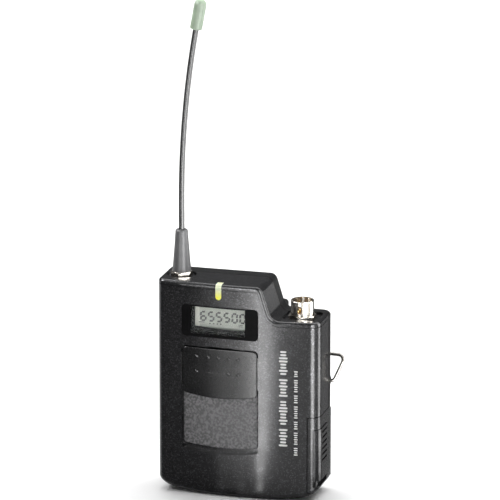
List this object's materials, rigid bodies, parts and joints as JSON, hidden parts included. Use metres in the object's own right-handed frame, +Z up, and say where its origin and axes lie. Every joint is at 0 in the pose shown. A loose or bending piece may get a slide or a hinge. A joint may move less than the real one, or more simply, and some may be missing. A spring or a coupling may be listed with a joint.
{
  "type": "wireless guitar transmitter",
  "caption": "Body-worn wireless transmitter with bent whip antenna, round instrument socket, display, sliding control cover, side battery door with thumb latch, and wire belt clip.",
  "frame": {"origin": "middle of the flat strip of the case's base, half way through the case's depth", "axes": "+X to the wearer's reading right of the front face, +Y from the front face to the belt clip, +Z up along the antenna"},
  "size_m": [0.0752, 0.0308, 0.1985],
  "materials": {
    "case_grey": "satin with a fine metallic speckle",
    "case_black": "satin",
    "label_film": "printed film, plain",
    "gloss_black": "gloss",
    "clear_pane": "clear",
    "display_glass": "satin reflective display",
    "inner_black": "matt",
    "soft_strip": "soft",
    "inner_white": "matt",
    "light_pipe": "translucent",
    "cover_dark": "smooth satin",
    "textured_grey": "coarse grained",
    "button_grey": "soft",
    "spring_steel": "plated",
    "board_green": "solder mask",
    "screw_black": "black zinc",
    "tinned_steel": "tinned",
    "capacitor_sleeve": "shrink sleeve",
    "brass": "turned",
    "nickel": "bright nickel",
    "sleeve_rubber": "matt",
    "whip_black": "glossy jacket",
    "tip_green": "matt",
    "insulator_brown": "moulded",
    "cell_wrap": "printed sleeve, plain",
    "nickel_wire": "bright drawn wire"
  },
  "bodies": {
    "case": {"antenna_feed_spring": "spring_steel", "antenna_lock_nut": "nickel", "antenna_nut": "nickel", "antenna_sleeve": "sleeve_rubber", "antenna_stud": "brass", "antenna_tip": "tip_green", "antenna_whip": "whip_black", "back_shell": "case_black", "battery_cell_lower": "cell_wrap", "battery_cell_upper": "cell_wrap", "battery_tray": "inner_black", "board_capacitors": "capacitor_sleeve", "board_chips": "inner_black", "board_header": "inner_black", "button_switches": "spring_steel", "case_screws": "screw_black", "clip_bushes": "case_black", "control_board": "board_green", "control_board_screws": "spring_steel", "control_panel": "inner_black", "display_bezel": "gloss_black", "display_window": "clear_pane", "door_hinge_pin": "spring_steel", "front_shell": "case_grey", "indicator_led": "inner_white", "indicator_light_pipe": "light_pipe", "jack_barrel": "nickel", "jack_insulator": "insulator_brown", "jack_nut": "nickel", "jack_pins": "brass", "lcd_contact_strips": "soft_strip", "lcd_glass": "display_glass", "lcd_holder": "inner_black", "lcd_reflector": "inner_white", "level_trimmer_body": "inner_black", "power_switch_body": "spring_steel", "radio_board": "board_green", "radio_board_screws": "spring_steel", "radio_shield_can": "tinned_steel", "rear_label": "label_film", "reference_crystal": "tinned_steel", "textured_pad": "textured_grey", "top_cap": "case_grey", "tray_contact_spring": "spring_steel", "tray_contacts": "spring_steel"},
    "cover": {"control_cover": "cover_dark"},
    "mode_key": {"mode_button": "button_grey"},
    "down_key": {"down_button": "button_grey"},
    "up_key": {"up_button": "button_grey"},
    "power_knob": {"power_switch_knob": "inner_white"},
    "trimmer": {"level_trimmer_rotor": "inner_white"},
    "door": {"battery_door": "case_grey", "door_link_plate": "spring_steel", "latch_spring": "spring_steel"},
    "latch": {"door_latch": "case_grey", "latch_hook": "inner_black"},
    "clip": {"belt_clip": "nickel_wire"}
  },
  "joints": [
    {"name": "cover_slide", "type": "slide", "parent": "case", "child": "cover", "axis": [0, 0, -1], "range_m": [0, 0.02]},
    {"name": "mode_press", "type": "slide", "parent": "case", "child": "mode_key", "axis": [0, 1, 0], "range_m": [0, 0.0003], "stiffness_N_per_m": 1500},
    {"name": "down_press", "type": "slide", "parent": "case", "child": "down_key", "axis": [0, 1, 0], "range_m": [0, 0.0003], "stiffness_N_per_m": 1500},
    {"name": "up_press", "type": "slide", "parent": "case", "child": "up_key", "axis": [0, 1, 0], "range_m": [0, 0.0003], "stiffness_N_per_m": 1500},
    {"name": "power_switch_slide", "type": "slide", "parent": "case", "child": "power_knob", "axis": [1, 0, 0], "range_m": [0, 0.0025]},
    {"name": "level_trimmer_turn", "type": "hinge", "parent": "case", "child": "trimmer", "pos_m": [0.003, -0.0065, 0.052], "axis": [0, 1, 0], "range_deg": [-135, 135]},
    {"name": "door_swing", "type": "hinge", "parent": "case", "child": "door", "pos_m": [0.0308, 0.0098, 0.0195], "axis": [0, 0, 1], "range_deg": [0, 100]},
    {"name": "latch_slide", "type": "slide", "parent": "door", "child": "latch", "axis": [0, 0, -1], "range_m": [0, 0.0024], "stiffness_N_per_m": 400, "deforming": ["latch_spring"]},
    {"name": "clip_spread", "type": "hinge", "parent": "case", "child": "clip", "pos_m": [0, 0.008, 0.0454], "axis": [1, 0, 0], "range_deg": [0, 12], "stiffness_Nm_per_rad": 0.5}
  ]
}
